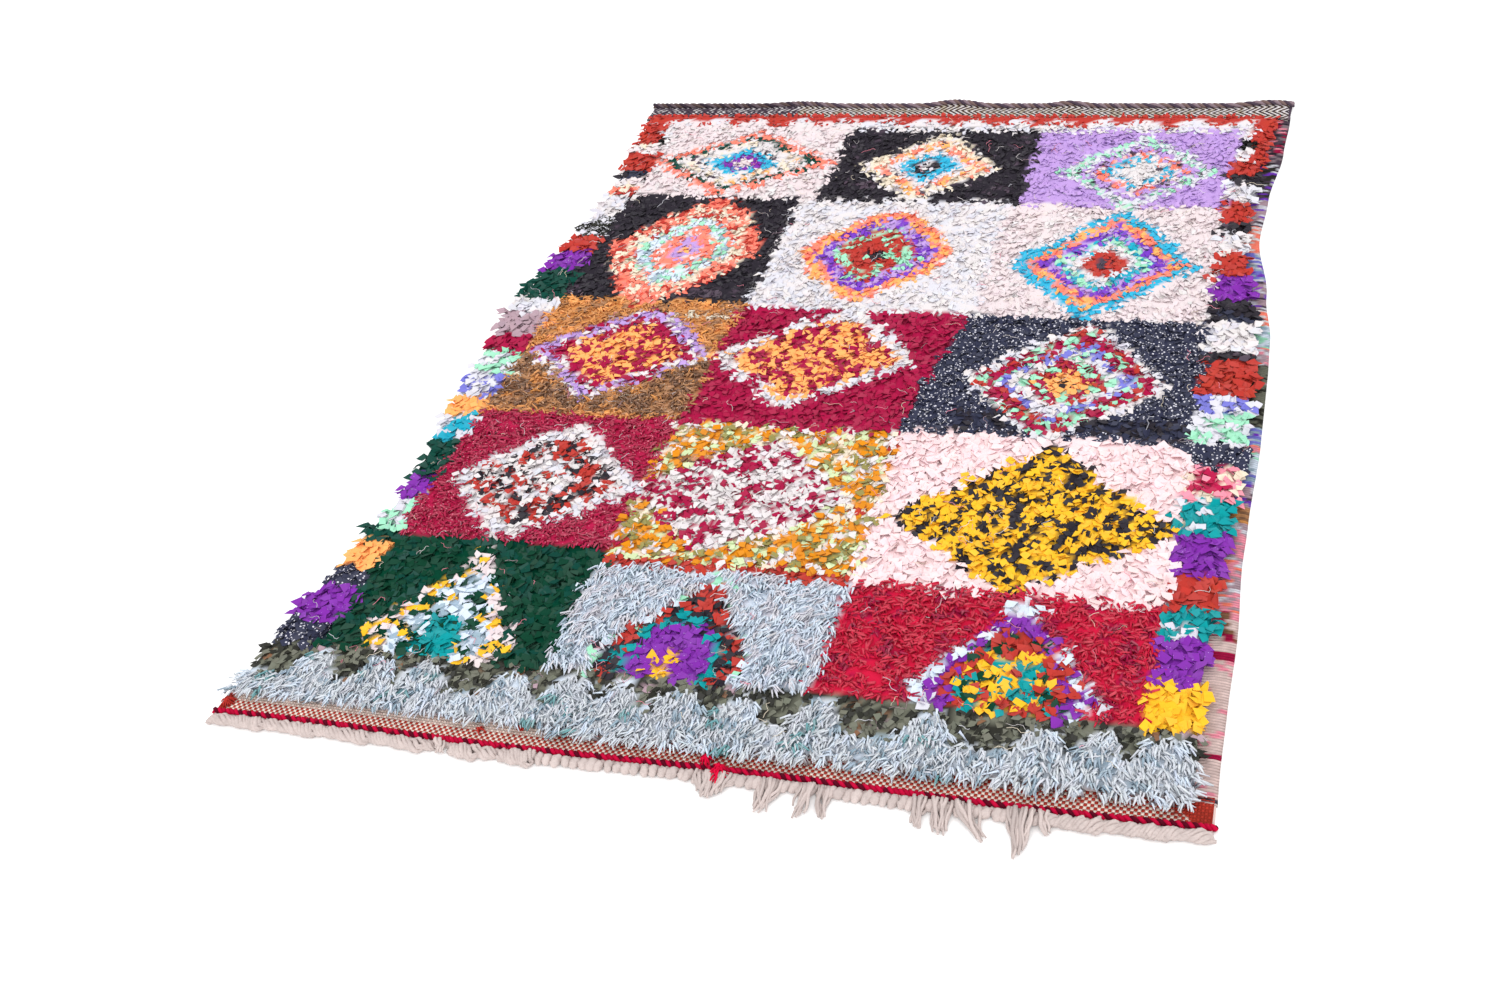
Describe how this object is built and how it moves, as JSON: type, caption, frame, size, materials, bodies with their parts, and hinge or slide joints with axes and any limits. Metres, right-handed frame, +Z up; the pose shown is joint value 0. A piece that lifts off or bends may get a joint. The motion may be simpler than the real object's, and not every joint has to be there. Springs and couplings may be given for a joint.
{
  "type": "boucherouite rug",
  "caption": "Shaggy hand-knotted rag rug in lozenge panels, flat on the floor, with a twined and knotted fringe at one end and a twisted cord at the other.",
  "frame": {"origin": "middle of the rug's underside, on the floor, fringe included", "axes": "+Z up from the floor, +Y along the rug from its fringed end to its corded end, +X across it to the right"},
  "size_m": [1.4161, 2.1011, 0.0266],
  "materials": {
    "rag_pile": "matte knotted rag and yarn pile in many colours",
    "crimson_yarn": "matte twined yarn",
    "cream_cotton": "matte cotton warp ends, knotted",
    "dark_brown_yarn": "matte twisted yarn",
    "crimson_tie_yarn": "matte tied yarn with cut tails"
  },
  "bodies": {
    "root": {"rug": "rag_pile", "front_twined_cord": "crimson_yarn", "front_fringe": "cream_cotton", "back_twisted_cord": "dark_brown_yarn", "crimson_tie": "crimson_tie_yarn"}
  },
  "joints": []
}
